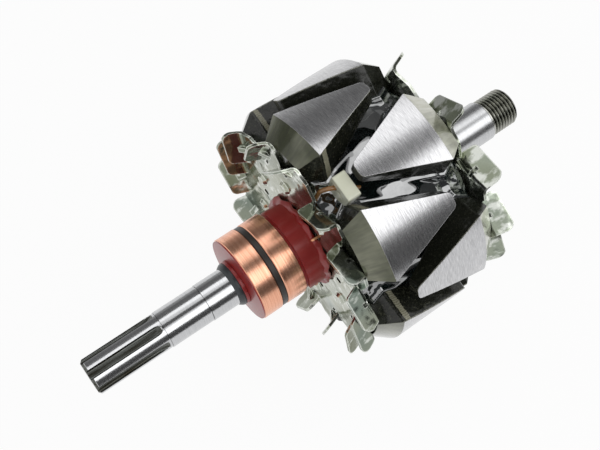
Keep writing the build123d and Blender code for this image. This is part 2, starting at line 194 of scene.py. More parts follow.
def bumped_normal(tree, strength, distance, height, edge=None):
    """A normal that follows a height, over edges rounded by this radius where one is given."""
    rounded = None
    if edge is not None:
        rounded = add_node(tree, "ShaderNodeBevel", edge, samples=4).outputs[0]
    return add_node(tree, "ShaderNodeBump", strength, distance, None, height, rounded).outputs[0]


def new_finish(name, **values):
    """A material with one Principled shader, its constants set on the shader's own sockets."""
    finish = bpy.data.materials.new(name)
    finish.use_nodes = True
    shader = finish.node_tree.nodes["Principled BSDF"]
    for socket, value in values.items():
        shader.inputs[socket.replace("_", " ")].default_value = value
    return finish, finish.node_tree, shader


def join(tree, shader, **outputs):
    """Link outputs to the shader's sockets of these names."""
    for socket, output in outputs.items():
        tree.links.new(output, shader.inputs[socket.replace("_", " ")])


print("node helpers ready")

# %% [markdown]
# ## Pieces that turn with the rotor
#
# The CAD meshes come in with flat facets, which show on polished round parts. Each is copied, its
# doubled points are merged, and it is shaded smooth up to a sharp angle. More facets would do it too,
# but smooth shading costs nothing. Parts that are built here are all round, so they share one way to
# place a point round the shaft and one way to join rings of points into faces.

# %% Helpers for pieces
SHARP_ANGLE = math.radians(32.0)
DOUBLED = 0.002 * MM


def add_piece(name, mesh, finish, slot, *replaced):
    """A new piece that turns with the rotor, in place of CAD nodes where some are named."""
    piece = bpy.data.objects.new(name, mesh)
    bpy.context.scene.collection.objects.link(piece)
    mesh.materials.clear()
    mesh.materials.append(finish)
    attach(piece, "root")
    for node in replaced:
        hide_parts(node)
    return piece


def smooth_mesh(node):
    """A copy of a CAD node's mesh that shades as one round surface, broken only at sharp edges."""
    mesh = nodes[node].data.copy()
    mesh.name = node + "_smooth"
    build = bmesh.new()
    build.from_mesh(mesh)
    bmesh.ops.remove_doubles(build, verts=build.verts, dist=DOUBLED)
    build.to_mesh(mesh)
    build.free()
    if "custom_normal" in mesh.attributes:
        mesh.attributes.remove(mesh.attributes["custom_normal"])
    mesh.shade_smooth()
    mesh.set_sharp_from_angle(angle=SHARP_ANGLE)
    return mesh


def dress(finish, slot, *names):
    """Put a finish on smooth copies of CAD nodes."""
    for name in names:
        add_piece(name + "_skin", smooth_mesh(name), finish, slot, name)
    print(finish.name, "on", ", ".join(names))


def round_point(along, radius, turn):
    """A point at this place along the shaft, this far from it and this angle round it."""
    return along, radius * math.cos(turn), radius * math.sin(turn)


def sleeve_faces(rings, around):
    """The faces between rings of points that follow each other in one list."""
    faces = []
    for i in range(rings - 1):
        for j in range(around):
            k = (j + 1) % around
            near, far = i * around, (i + 1) * around
            faces.append((near + j, near + k, far + k, far + j))
    return faces


def clamp(share):
    """The share held between zero and one."""
    return min(1.0, max(0.0, share))


print("piece helpers ready")

# %% [markdown]
# ## Marks round the shaft
#
# Most parts of a rotor are turned, so their marks run round the shaft. The next helper gives the place
# along the shaft, the distance from its axis and the angle round it, as plain numbers that any texture
# can use. Noise that is stretched along the angle then looks like the marks of a lathe.


# %% Place along and round the shaft
def object_place(tree):
    """The point itself, in metres."""
    return add_node(tree, "ShaderNodeTexCoord").outputs["Object"]


def shaft_place(tree):
    """Outputs for the point itself, its place along the shaft, its radius and its angle."""
    here = object_place(tree)
    along, across, up = add_node(tree, "ShaderNodeSeparateXYZ", here).outputs
    across_squared = add_math(tree, "MULTIPLY", across, across)
    up_squared = add_math(tree, "MULTIPLY", up, up)
    radius = add_math(tree, "SQRT", add_math(tree, "ADD", across_squared, up_squared))
    angle = add_math(tree, "ARCTAN2", up, across)
    return here, along, radius, angle


def turning_marks(tree, along, angle, per_metre, detail, streaks):
    """Noise drawn out round the shaft. More streaks make shorter marks."""
    stretched = add_node(
        tree,
        "ShaderNodeCombineXYZ",
        add_math(tree, "MULTIPLY", along, per_metre),
        add_math(tree, "MULTIPLY", add_math(tree, "SINE", angle), streaks),
        add_math(tree, "MULTIPLY", add_math(tree, "COSINE", angle), streaks),
    ).outputs[0]
    return add_noise(tree, stretched, 1.0, detail, 0.6)


print("shaft helpers ready")

# %% [markdown]
# ## Machined poles
#
# The claws' outer faces are turned bright after the rotor is assembled and dipped, so they are bare
# steel with fine marks round the shaft, while everything below them keeps its black varnish. The bevel
# at each claw's root keeps a thin olive coat, darker on the rear pole than on the front one. One
# material covers the whole forging: it asks how far a point is from the axis and how far along the
# shaft, and picks bare steel, olive coat or varnish.
#
# Two small things keep the walls from looking like plain black plastic. The varnish is worn through in a
# thin light line just under the bright face. On the rear pole a light ribbed strip runs down each wall:
# a step that the forging die left there, bare of varnish and not modelled, with a painted highlight as
# that step catches the light.

# %% Finish of the claw poles
FACE_SKIN = 0.05 * MM
BEVEL_SKIN = 0.06 * MM
WORN_EDGE = 0.42 * MM
STRIP_START = 16.0 * MM
STRIP_END = 18.3 * MM
STRIP_WANDER = 1.6 * MM
RIB_PITCH = 0.8 * MM


def bare_steel(tree, along, angle):
    """The colour of the turned faces: fine marks over slow light and dark areas."""
    marks = turning_marks(tree, along, angle, 6500, 3.0, 14.0)
    broad = turning_marks(tree, along, angle, 700, 2.0, 3.0)
    steel = colour_ramp(tree, marks, (0.28, (0.36, 0.36, 0.37, 1)), (0.70, (0.70, 0.70, 0.71, 1)))
    return blend_colours(tree, 0.05, steel, broad, "OVERLAY"), marks


def claw_bevel(tree, outward, radius):
    """One on the bevel at the claws' roots and zero elsewhere."""
    slope = (POLE_RADIUS - BEVEL_FOOT) / (POLE_FACE - CLAW_SHOULDER)
    start = POLE_RADIUS + CLAW_SHOULDER * slope - BEVEL_SKIN
    cone = add_math(tree, "MULTIPLY_ADD", outward, -slope, start)
    past_shoulder = add_math(tree, "GREATER_THAN", outward, CLAW_SHOULDER)
    return add_math(tree, "MULTIPLY", add_math(tree, "GREATER_THAN", radius, cone), past_shoulder)


def olive_coat(tree, here, along, angle, dark, light):
    """The thin coat on the bevels: clouds between two olives, streaked round the shaft."""
    clouds = map_range(tree, add_noise(tree, here, 55.0, 3.0, 0.5), 0.36, 0.64)
    streaks = turning_marks(tree, along, angle, 110, 3.0, 26.0)
    streaks = map_range(tree, streaks, 0.3, 0.7, 0.25, 0.75)
    return blend_colours(tree, 0.55, blend_colours(tree, clouds, dark, light), streaks, "OVERLAY")


def lit_step_strip(tree, outward, radius, grit):
    """Where the light strip lies on the walls, and its colour with the ribs across it: a bare step left
    by the forging die, with a painted highlight as that step catches the light.
    """
    wander = add_math(tree, "MULTIPLY_ADD", grit, STRIP_WANDER, -STRIP_WANDER / 2)
    place = add_math(tree, "ADD", outward, wander)
    inside = add_math(tree, "GREATER_THAN", place, STRIP_START)
    before = add_math(tree, "LESS_THAN", place, STRIP_END)
    shown = add_math(tree, "MULTIPLY", add_math(tree, "MULTIPLY", inside, before), 0.9)
    down = add_math(tree, "ADD", radius, wander)
    ribs = add_math(tree, "SINE", add_math(tree, "MULTIPLY", down, 2 * math.pi / RIB_PITCH))
    ribs = add_math(tree, "MULTIPLY_ADD", ribs, 0.5, 0.5)
    # Painted highlight: the strip's light olive stands for a bare step face that catches the light.
    return shown, blend_colours(tree, ribs, (0.20, 0.19, 0.13, 1), (0.44, 0.43, 0.32, 1))


def wall_colour(tree, outward, radius, grit, speckle, has_lit_step):
    """The dipped walls: black varnish with fine specks, the strip with its painted highlight and the
    worn edge.
    """
    specks = map_range(tree, grit, 0.54, 0.66, 0.0, speckle)
    varnish = blend_colours(tree, specks, (0.012, 0.013, 0.009, 1), (0.13, 0.13, 0.09, 1))
    if has_lit_step:
        shown, ribbed = lit_step_strip(tree, outward, radius, grit)
        varnish = blend_colours(tree, shown, varnish, ribbed)
    at_edge = add_math(tree, "GREATER_THAN", radius, POLE_RADIUS - WORN_EDGE)
    worn = add_math(tree, "MULTIPLY", at_edge, map_range(tree, grit, 0.38, 0.5, 0.0, 0.8))
    return blend_colours(tree, worn, varnish, (0.34, 0.34, 0.28, 1))


def claw_pole_finish(name, side, olive_dark, olive_light, speckle):
    """Bright faces, olive bevels and black walls. side is -1 for the rear pole and 1 for the front."""
    finish, tree, shader = new_finish(name, Coat_Roughness=0.06, Specular_IOR_Level=0.35)
    here, along, radius, angle = shaft_place(tree)
    outward = add_math(tree, "MULTIPLY", along, side)
    on_face = add_math(tree, "GREATER_THAN", radius, POLE_RADIUS - FACE_SKIN)
    on_bevel = claw_bevel(tree, outward, radius)
    grit = add_noise(tree, here, 900.0, 5.0, 0.7)
    patches = add_noise(tree, here, 140.0, 4.0, 0.6)
    flows = add_noise(tree, here, 190.0, 2.0, 0.45)

    bright, marks = bare_steel(tree, along, angle)
    olive = olive_coat(tree, here, along, angle, olive_dark, olive_light)
    walls = wall_colour(tree, outward, radius, grit, speckle, has_lit_step=side < 0)
    colour = blend_colours(tree, on_face, blend_colours(tree, on_bevel, walls, olive), bright)

    dipped = add_math(tree, "MULTIPLY_ADD", patches, 0.50, -0.04)
    rough = blend_values(tree, on_face, blend_values(tree, on_bevel, dipped, 0.22), 0.23)
    metallic = blend_values(tree, on_bevel, on_face, 0.35)
    gloss = blend_values(tree, on_face, blend_values(tree, on_bevel, 0.25, 0.7), 0.0)

    lumps = add_math(tree, "MULTIPLY_ADD", grit, 0.05, flows)
    soft = add_math(tree, "MULTIPLY", lumps, blend_values(tree, on_bevel, 1.0, 0.05))
    height = blend_values(tree, on_face, soft, add_math(tree, "MULTIPLY", marks, 0.012))
    normal = bumped_normal(tree, 0.7, 0.8 * MM, height, edge=0.3 * MM)
    join(tree, shader, Base_Color=colour, Metallic=metallic, Roughness=rough)
    join(tree, shader, Coat_Weight=gloss, Normal=normal)
    return finish


rear_steel = claw_pole_finish(
    "claw_steel_rear",
    side=-1,
    olive_dark=(0.034, 0.040, 0.012, 1),
    olive_light=(0.19, 0.195, 0.135, 1),
    speckle=0.5,
)
front_steel = claw_pole_finish(
    "claw_steel_front",
    side=1,
    olive_dark=(0.26, 0.27, 0.19, 1),
    olive_light=(0.62, 0.62, 0.54, 1),
    speckle=0.16,
)
dress(rear_steel, "pole_steel", "rear_claw_pole")
dress(front_steel, "pole_steel", "front_claw_pole", "rotor_core")

# %% [markdown]
# ## Varnish over the winding
#
# The winding and the valleys between the claws are flooded with black varnish that sets in glossy
# waves and climbs the claws' walls. The CAD wrap is a plain band. A bump can't change an outline, so
# the varnish is a real surface: a fine grid round the rotor whose radius is the band's, plus waves,
# plus a rise beside each claw, worked out from the claws' own widths. Over the winding the waves are
# long and smooth, and in the valleys a fine crinkle is added.

# %% Build the varnish
VARNISH_RINGS = 133
VARNISH_AROUND = 540
LONG_WAVE = 12.0 * MM
SHORT_WAVE = 5.0 * MM
CRINKLE = 1.6 * MM
VALLEY_COAT = 0.45 * MM
VALLEY_WAVES = 0.40 * MM
VALLEY_CRINKLE = 0.14 * MM
WINDING_COAT = 1.35 * MM
WINDING_WAVES = 0.52 * MM
THINNEST_COAT = 0.05 * MM
CLIMB_HEIGHT = 2.8 * MM
CLIMB_FADE = 1.3 * MM
CLIMB_START = 4.0 * MM
CLIMB_FULL = 16.0 * MM
VARNISH_END = POLE_FACE - 0.9 * MM


def claw_half_width(along, side):
    """Half the width of a claw of one pole at this place along the shaft, or nothing past its tip."""
    outward = along * side
    if outward < -CLAW_REACH or outward > POLE_FACE:
        return None
    if outward > CLAW_SHOULDER:
        share = (outward - CLAW_SHOULDER) / (POLE_FACE - CLAW_SHOULDER)
        return CLAW_ROOT_HALF_WIDTH + share * (CLAW_FOOT_HALF_WIDTH - CLAW_ROOT_HALF_WIDTH)
    share = (outward + CLAW_REACH) / (CLAW_SHOULDER + CLAW_REACH)
    return CLAW_TIP_HALF_WIDTH + share * (CLAW_ROOT_HALF_WIDTH - CLAW_TIP_HALF_WIDTH)


def claw_rise(along, turn):
    """How much the varnish rises here because a claw's root is near."""
    rise = 0.0
    for side, first in ((-1, REAR_CLAW_ANGLE), (1, FRONT_CLAW_ANGLE)):
        half = claw_half_width(along, side)
        near_root = clamp((along * side - CLIMB_START) / (CLIMB_FULL - CLIMB_START))
        if half is None or near_root == 0.0:
            continue
        for k in range(CLAW_COUNT):
            away = turn - math.radians(first + 360.0 / CLAW_COUNT * k)
            away = (away + math.pi) % (2 * math.pi) - math.pi
            if abs(away) < math.pi / 3:
                gap = max(0.0, abs(VALLEY_RADIUS * math.sin(away)) - half)
                rise += near_root * CLIMB_HEIGHT * math.exp(-gap / CLIMB_FADE)
    return rise


def varnish_radius(along, turn):
    """The varnish's radius: a wavy coat, thickest over the winding."""
    spot = Vector(round_point(along, VALLEY_RADIUS, turn))
    waves = noise.noise(spot / LONG_WAVE) + 0.22 * noise.noise(spot / SHORT_WAVE)
    over_winding = clamp((POLE_INNER_FACE - abs(along)) / (3.0 * MM))
    in_valley = 1.0 - over_winding
    coat = VALLEY_COAT * in_valley + WINDING_COAT * over_winding
    coat += (VALLEY_WAVES * in_valley + WINDING_WAVES * over_winding) * waves
    coat += VALLEY_CRINKLE * in_valley * noise.noise(spot / CRINKLE)
    inside = clamp((POLE_FACE - 0.8 * MM - abs(along)) / (2.0 * MM))
    return VALLEY_RADIUS + (max(THINNEST_COAT, coat) + claw_rise(along, turn)) * inside


def build_varnish():
    """A sleeve of varnish from one pole face to the other."""
    mesh = bpy.data.meshes.new("winding_varnish")
    points = []
    for i in range(VARNISH_RINGS):
        along = -VARNISH_END + 2 * VARNISH_END * i / (VARNISH_RINGS - 1)
        for j in range(VARNISH_AROUND):
            turn = 2 * math.pi * j / VARNISH_AROUND
            points.append(round_point(along, varnish_radius(along, turn), turn))
    mesh.from_pydata(points, [], sleeve_faces(VARNISH_RINGS, VARNISH_AROUND))
    mesh.shade_smooth()
    return mesh


varnish_mesh = build_varnish()
print("varnish faces:", len(varnish_mesh.polygons))

# %% [markdown]
# ## Ground steel shaft
#
# The rear seats are ground, so the shaft is nearly a mirror there, with very fine rings, and the front
# seat is a little rougher. Rings come from the same drawn-out noise with a small bump. The spline's
# grooves are milled and darker in patches, and the thread is dark steel that gets darker towards its
# roots: both are picked out by their place and made darker and rougher. A thin dark line marks each step
# between two ground lengths.

# %% Finish of the shaft
GROOVE_SKIN = 0.15 * MM
THREAD_DEPTH = 0.9 * MM
STEP_LINE = 0.13 * MM


def shaft_colour(tree, here, along, radius, marks, in_groove, on_thread):
    """Bright ground steel, darker mottled grooves, a thread dark at its roots, and a line at each step.
    """
    ground = blend_colours(tree, marks, (0.42, 0.43, 0.44, 1), (0.68, 0.68, 0.69, 1))
    drawn = add_node(tree, "ShaderNodeMapping", here, None, None, (60.0, 900.0, 900.0)).outputs[0]
    groove_mottle = map_range(tree, add_noise(tree, drawn, 1.0, 4.0, 0.6), 0.35, 0.65)
    milled = blend_colours(tree, groove_mottle, (0.035, 0.032, 0.022, 1), (0.17, 0.18, 0.17, 1))
    steel = blend_colours(tree, in_groove, ground, milled)
    for step in SHAFT_STEPS:
        away = add_math(tree, "ABSOLUTE", add_math(tree, "SUBTRACT", along, step))
        line = add_math(tree, "MULTIPLY", add_math(tree, "LESS_THAN", away, STEP_LINE), 0.5)
        steel = blend_colours(tree, line, steel, (0.10, 0.10, 0.10, 1))
    crest = map_range(tree, radius, THREAD_RADIUS - THREAD_DEPTH, THREAD_RADIUS)
    thread_tone = blend_colours(tree, crest, (0.035, 0.035, 0.028, 1), (0.44, 0.44, 0.40, 1))
    return blend_colours(tree, on_thread, steel, thread_tone)


def shaft_finish():
    """Ground steel, darker in the spline's grooves and on the thread."""
    finish, tree, shader = new_finish("ground_steel", Metallic=1.0)
    here, along, radius, angle = shaft_place(tree)
    marks = turning_marks(tree, along, angle, 3200, 4.0, 0.5)
    in_tail = add_math(tree, "LESS_THAN", along, SPLINE_END)
    below = add_math(tree, "LESS_THAN", radius, SPLINE_RADIUS - GROOVE_SKIN)
    in_groove = add_math(tree, "MULTIPLY", in_tail, below)
    in_front = add_math(tree, "GREATER_THAN", along, POLE_FACE)
    on_thread = add_math(tree, "GREATER_THAN", along, THREAD_START + 0.1 * MM)

    colour = shaft_colour(tree, here, along, radius, marks, in_groove, on_thread)
    rough = add_math(tree, "MULTIPLY_ADD", add_noise(tree, here, 90.0, 4.0, 0.6), 0.08, 0.13)
    for where, roughness in ((in_groove, 0.34), (in_front, 0.27), (on_thread, 0.24)):
        rough = blend_values(tree, where, rough, roughness)
    rings = add_math(tree, "MULTIPLY", marks, add_math(tree, "SUBTRACT", 1.0, in_tail))
    normal = bumped_normal(tree, 0.15, 0.008 * MM, rings)
    join(tree, shader, Base_Color=colour, Roughness=rough, Normal=normal)
    return finish


ground_steel = shaft_finish()
print("shaft finish:", len(ground_steel.node_tree.nodes), "nodes")

# %% [markdown]
# ## Thread for the pulley nut
#
# The CAD shaft ends in a plain cylinder at the thread's major diameter. The turns could be a displaced
# cylinder, but a true helix catches the light better, so the shaft's mesh is copied, cut off where the
# thread starts, and a helical surface is built in its place: a V profile that climbs one pitch a turn.
# The end gets its chamfer and its centre hole back.

# %% Build the threaded shaft
THREAD_AROUND = 72
THREAD_RINGS = 151
THREAD_CHAMFER = 1.0 * MM
RUN_IN_START = 0.3 * MM
RUN_IN_LENGTH = 0.8 * MM
CENTRE_RADIUS = 2.2 * MM
CENTRE_DEPTH = 3.6 * MM


def thread_depth(phase):
    """How far below the crest the surface is, at this part of a turn, for a rounded V profile."""
    rise = abs(2.0 * (phase % 1.0) - 1.0)
    return 0.92 * MM * clamp(1.16 * (1.0 - rise) - 0.06)


def thread_radius(x, j):
    """The thread's radius here: the helix, faded in at the start and chamfered at the end."""
    phase = (x - THREAD_START) / THREAD_PITCH - j / THREAD_AROUND
    fade = clamp((x - THREAD_START - RUN_IN_START) / RUN_IN_LENGTH)
    chamfered = THREAD_RADIUS - max(0.0, x - (THREAD_END - THREAD_CHAMFER))
    return min(THREAD_RADIUS - thread_depth(phase) * fade, chamfered)


def build_thread():
    """The shaft's mesh with its plain end cut off and a right-hand helix added."""
    mesh = smooth_mesh("shaft")
    mesh.name = "threaded_shaft"
    build = bmesh.new()
    build.from_mesh(mesh)
    bmesh.ops.bisect_plane(
        build,
        geom=build.verts[:] + build.edges[:] + build.faces[:],
        plane_co=(THREAD_START + 0.02 * MM, 0, 0),
        plane_no=(1, 0, 0),
        clear_outer=True,
    )
    turns = [2 * math.pi * j / THREAD_AROUND for j in range(THREAD_AROUND)]
    rings = []
    for i in range(THREAD_RINGS):
        x = THREAD_START + (THREAD_END - THREAD_START) * i / (THREAD_RINGS - 1)
        ring = [round_point(x, thread_radius(x, j), turn) for j, turn in enumerate(turns)]
        rings.append([build.verts.new(point) for point in ring])
    rings.append([build.verts.new(round_point(THREAD_END, CENTRE_RADIUS, turn)) for turn in turns])
    tip = build.verts.new((THREAD_END - CENTRE_DEPTH, 0, 0))
    for j in range(THREAD_AROUND):
        k = (j + 1) % THREAD_AROUND
        for first, second in zip(rings, rings[1:]):
            build.faces.new((first[j], first[k], second[k], second[j]))
        build.faces.new((rings[-1][j], rings[-1][k], tip))
    bmesh.ops.recalc_face_normals(build, faces=build.faces)
    build.to_mesh(mesh)
    build.free()
    mesh.shade_smooth()
    mesh.set_sharp_from_angle(angle=SHARP_ANGLE)
    return mesh


shaft_piece = add_piece("threaded_shaft", build_thread(), ground_steel, "ground_steel", "shaft")
print("threaded shaft faces:", len(shaft_piece.data.polygons))

# %% [markdown]
# ## Slip rings
#
# Two copper rings carry the current in through brushes. Copper that has been turned shows bright and
# dark bands round it. The rings are separated by a black band, and all are set in a glossy red moulding.
# The leads and the winding get the same copper, duller and darker.


# %% Finish of the copper
def copper_finish(name, per_metre, light, dark, rough):
    """Turned copper with marks round the shaft."""
    finish, tree, shader = new_finish(name, Metallic=1.0, Roughness=rough)
    _, along, _, angle = shaft_place(tree)
    marks = map_range(tree, turning_marks(tree, along, angle, per_metre, 4.0, 0.6), 0.3, 0.7)
    colour = blend_colours(tree, marks, dark, light)
    join(tree, shader, Base_Color=colour, Normal=bumped_normal(tree, 0.15, 0.010 * MM, marks))
    return finish


ring_copper = copper_finish(
    "ring_copper", 2600, light=(0.94, 0.52, 0.36, 1), dark=(0.68, 0.31, 0.19, 1), rough=0.26
)
bare_copper = copper_finish(
    "bare_copper", 900, light=(0.84, 0.42, 0.24, 1), dark=(0.52, 0.21, 0.11, 1), rough=0.3
)
winding_copper = copper_finish(
    "winding_copper", 1500, light=(0.60, 0.28, 0.15, 1), dark=(0.30, 0.12, 0.06, 1), rough=0.4
)
dress(ring_copper, "ring_copper", "slip_ring_outer", "slip_ring_inner")
dress(bare_copper, "bare_copper", "ring_lead_1", "ring_lead_2")
dress(winding_copper, "winding_copper", "field_coil")

# %% [markdown]
# ## Mouldings, varnish and plastics
#
# What isn't metal on this rotor is either a glossy thermoset, a dipped varnish or a plain plastic. They
# differ in how deep their colour varies and how smooth the skin is, so one helper makes them all from a
# pair of colours, a roughness, and the size and height of their lumps.
#
# The varnish over the winding has to mirror the white tent in smooth patches and stay black between
# them. A clear coat with a high index reflects that strongly. It is pooled: its weight varies a little
# from place to place, and it is slightly blue.


# %% Finish of the plastics
def moulded_finish(
    name,
    light,
    dark,
    rough,
    lump_scale,
    lump_height,
    coat=0.0,
    coat_rough=0.04,
    coat_ior=1.5,
    pooled=False,
    edge=0.3,
):
    """Two colours mottled together, an uneven gloss and a lumpy skin. Heights and edges are in mm."""
    finish, tree, shader = new_finish(
        name,
        Coat_Weight=coat,
        Coat_Roughness=coat_rough,
        Coat_IOR=coat_ior,
    )
    here = object_place(tree)
    mottle = add_noise(tree, here, lump_scale * 0.6, 4.0, 0.6)
    lumps = add_noise(tree, here, lump_scale, 3.0, 0.5)
    colour = blend_colours(tree, mottle, dark, light)
    uneven = add_math(tree, "MULTIPLY_ADD", mottle, rough * 0.6, rough * 0.7)
    normal = bumped_normal(tree, 0.6, lump_height * MM, lumps, edge=edge * MM)
    join(tree, shader, Base_Color=colour, Roughness=uneven, Normal=normal)
    if pooled:
        pools = map_range(tree, add_noise(tree, here, 95.0, 4.0, 0.6), 0.34, 0.6, 0.7, 1.0)
        join(tree, shader, Coat_Weight=pools)
        shader.inputs["Coat Tint"].default_value = (0.90, 0.96, 1.0, 1)
    return finish


red_moulding = moulded_finish(
    "red_moulding",
    light=(0.42, 0.020, 0.018, 1),
    dark=(0.27, 0.012, 0.011, 1),
    rough=0.36,
    lump_scale=90.0,
    lump_height=0.10,
    coat=0.3,
    coat_rough=0.14,
)
black_varnish = moulded_finish(
    "black_varnish",
    light=(0.012, 0.019, 0.018, 1),
    dark=(0.003, 0.005, 0.005, 1),
    rough=0.12,
    lump_scale=200.0,
    lump_height=0.08,
    coat=1.0,
    coat_rough=0.05,
    coat_ior=3.2,
    pooled=True,
)
dark_bobbin = moulded_finish(
    "dark_bobbin",
    light=(0.10, 0.09, 0.06, 1),
    dark=(0.03, 0.03, 0.02, 1),
    rough=0.30,
    lump_scale=500.0,
    lump_height=0.10,
    coat=0.3,
)
cream_plastic = moulded_finish(
    "cream_plastic",
    light=(0.90, 0.91, 0.77, 1),
    dark=(0.80, 0.82, 0.62, 1),
    rough=0.24,
    lump_scale=260.0,
    lump_height=0.05,
    coat=0.4,
    coat_rough=0.08,
    edge=0.9,
)
lead_sleeve = moulded_finish(
    "lead_sleeve",
    light=(0.52, 0.25, 0.08, 1),
    dark=(0.12, 0.055, 0.02, 1),
    rough=0.22,
    lump_scale=500.0,
    lump_height=0.08,
    coat=0.6,
)
black_plastic = moulded_finish(
    "black_plastic",
    light=(0.040, 0.032, 0.028, 1),
    dark=(0.018, 0.014, 0.012, 1),
    rough=0.40,
    lump_scale=700.0,
    lump_height=0.02,
)
black_gloss = moulded_finish(
    "black_gloss",
    light=(0.050, 0.058, 0.062, 1),
    dark=(0.025, 0.030, 0.034, 1),
    rough=0.34,
    lump_scale=300.0,
    lump_height=0.02,
)
dress(red_moulding, "red_moulding", "slip_ring_moulding")
dress(dark_bobbin, "black_varnish", "coil_bobbin")
dress(cream_plastic, "cream_plastic", "lead_clip_1", "lead_clip_2")
dress(lead_sleeve, "lead_sleeve", "coil_lead_1", "coil_lead_2")
dress(black_plastic, "black_plastic", "ring_separator")
add_piece("winding_varnish", varnish_mesh, black_varnish, "black_varnish", "coil_wrap")

# %% [markdown]
# ## Collar, hub and moulding flash
#
# The black collar is a small turned ring. Its CAD mesh has few facets, and they show at its rounded
# nose, so it is built again as a lathe would make it: one profile carried round the axis. The red
# moulding reaches a little way over the collar's root, in a second profile. Behind the moulding the red
# compound has squeezed out under the fan in a ragged ring. That ring is also a profile carried round,
# but its radius and its edge wander with noise, as a squeezed edge does.

# %% Build the collar, the hub and the flash
# Each profile is a row of points: the place along the shaft and the radius, in mm.
COLLAR_PROFILE = (
    (-59.7, 8.9),
    (-60.1, 9.0),
    (-60.5, 9.05),
    (-61.2, 8.8),
    (-62.0, 8.3),
    (-62.35, 8.02),
    (-62.4, 7.75),
)
HUB_PROFILE = ((-58.6, 9.2), (-59.5, 9.2), (-59.75, 9.12), (-59.9, 8.9), (-59.9, 8.6))
FLASH_PROFILE = (
    (-30.9, 15.4),
    (-31.0, 17.4),
    (-30.3, 18.8),
    (-29.4, 19.2),
    (-28.6, 18.9),
    (-28.3, 14.8),
)
PROFILE_SHARP_ANGLE = math.radians(40.0)


def turned_mesh(name, profile, around=96, wander=0.0):
    """A profile carried round the axis. wander, in mm, makes its radius and its place ragged."""
    mesh = bpy.data.meshes.new(name)
    points = []
    for along, radius in profile:
        for j in range(around):
            turn = 2 * math.pi * j / around
            spot = Vector(round_point(along * 0.3, 2.6, turn))
            shift = wander * noise.noise(spot)
            step = wander * noise.noise(spot * 2.3 + Vector((5.0, 0.0, 0.0)))
            points.append(round_point((along + step) * MM, (radius + shift) * MM, turn))
    mesh.from_pydata(points, [], sleeve_faces(len(profile), around))
    mesh.shade_smooth()
    mesh.set_sharp_from_angle(angle=PROFILE_SHARP_ANGLE)
    return mesh


collar_mesh = turned_mesh("turned_collar", COLLAR_PROFILE)
hub_mesh = turned_mesh("moulding_hub", HUB_PROFILE)
flash_mesh = turned_mesh("moulding_flash", FLASH_PROFILE, around=160, wander=1.0)
add_piece("turned_collar", collar_mesh, black_gloss, "black_gloss", "shaft_collar")
add_piece("moulding_hub", hub_mesh, red_moulding, "red_moulding")
add_piece("moulding_flash", flash_mesh, red_moulding, "red_moulding")
for turned in (collar_mesh, hub_mesh, flash_mesh):
    print(turned.name, "faces:", len(turned.polygons))

# %% [markdown]
# ## Zinc plated fans
#
# The fans are pressed from thin sheet and zinc plated. Clear passivated zinc is a bright, slightly
# greenish silver with faint olive clouds. The clouds come from slow noise that mixes three metal
# colours, and the blades are darkened with painted shade. Ragged light patches are painted reflections,
# and the rims of the blades get a painted highlight. A Bevel node finds the rims: near an edge its
# rounded normal turns away from the face's true normal.
# A slow bump makes the sheet a little uneven, as pressing does, and a finer noise breaks up the gloss.

# %% Finish of the fans
BLADE_START = 31.0 * MM
BLADE_FULL = 36.0 * MM
RIM_WIDTH = 0.9 * MM
WHITE = (1, 1, 1, 1)


def zinc_clouds(tree, clouds, radius, blade_painted_shade):
    """Three zinc colours in slow clouds, darkened on the blades by painted shade."""
    zinc = colour_ramp(
        tree,
        clouds,
        (0.30, (0.24, 0.25, 0.16, 1)),
        (0.5, (0.44, 0.46, 0.39, 1)),
        (0.70, (0.32, 0.37, 0.34, 1)),
    )
    # Painted shade: the blades stand darker than the disc, as shade falls between them.
    on_blade = map_range(tree, radius, BLADE_START, BLADE_FULL)
    return blend_colours(tree, 1.0, zinc, blend_colours(tree, on_blade, WHITE, blade_painted_shade), "MULTIPLY")


def painted_reflections(tree, here, reflection_share):
    """How much painted reflection shows here, in ragged light patches, by the share given."""
    drawn = add_node(tree, "ShaderNodeMapping", here, None, None, (75.0, 210.0, 210.0)).outputs[0]
    ragged = add_noise(tree, drawn, 1.0, 4.0, 0.6)
    start = 0.66 - 0.4 * reflection_share
    return map_range(tree, ragged, start, start + 0.10, 0.0, 0.4 + reflection_share)


def rim_highlights(tree):
    """Where the painted highlight on the rims goes: high near the edges of the sheet and zero on its
    flats.
    """
    wide = add_node(tree, "ShaderNodeBevel", RIM_WIDTH, samples=6).outputs[0]
    true = add_node(tree, "ShaderNodeNewGeometry").outputs["True Normal"]
    facing = add_node(tree, "ShaderNodeVectorMath", wide, true, operation="DOT_PRODUCT")
    return map_range(tree, facing.outputs["Value"], 0.995, 0.92, 0.0, 0.9)


def fan_finish(name, blade_painted_shade, reflection_share):
    """Bright passivated zinc: painted shade darkens the blades, a share of painted reflections shows in
    ragged light patches, and the rims get a painted highlight.
    """
    finish, tree, shader = new_finish(name, Metallic=0.92)
    here, _, radius, _ = shaft_place(tree)
    clouds = add_noise(tree, here, 42.0, 2.0, 0.5)
    grain = add_noise(tree, here, 1800.0, 3.0, 0.6)
    colour = zinc_clouds(tree, clouds, radius, blade_painted_shade)
    # Painted reflections: ragged patches of a pale zinc colour.
    colour = blend_colours(tree, painted_reflections(tree, here, reflection_share), colour, (0.78, 0.80, 0.75, 1))
    colour = blend_colours(tree, 0.12, colour, grain, "OVERLAY")
    # Painted highlight: a pale colour along the rims of the sheet.
    colour = blend_colours(tree, rim_highlights(tree), colour, (0.74, 0.76, 0.70, 1))
    rough = add_math(tree, "MULTIPLY_ADD", clouds, 0.12, 0.05)
    height = add_math(tree, "MULTIPLY_ADD", grain, 0.015, add_noise(tree, here, 120.0, 2.0, 0.4))
    normal = bumped_normal(tree, 0.8, 0.65 * MM, height, edge=0.25 * MM)
    join(tree, shader, Base_Color=colour, Roughness=rough, Normal=normal)
    return finish


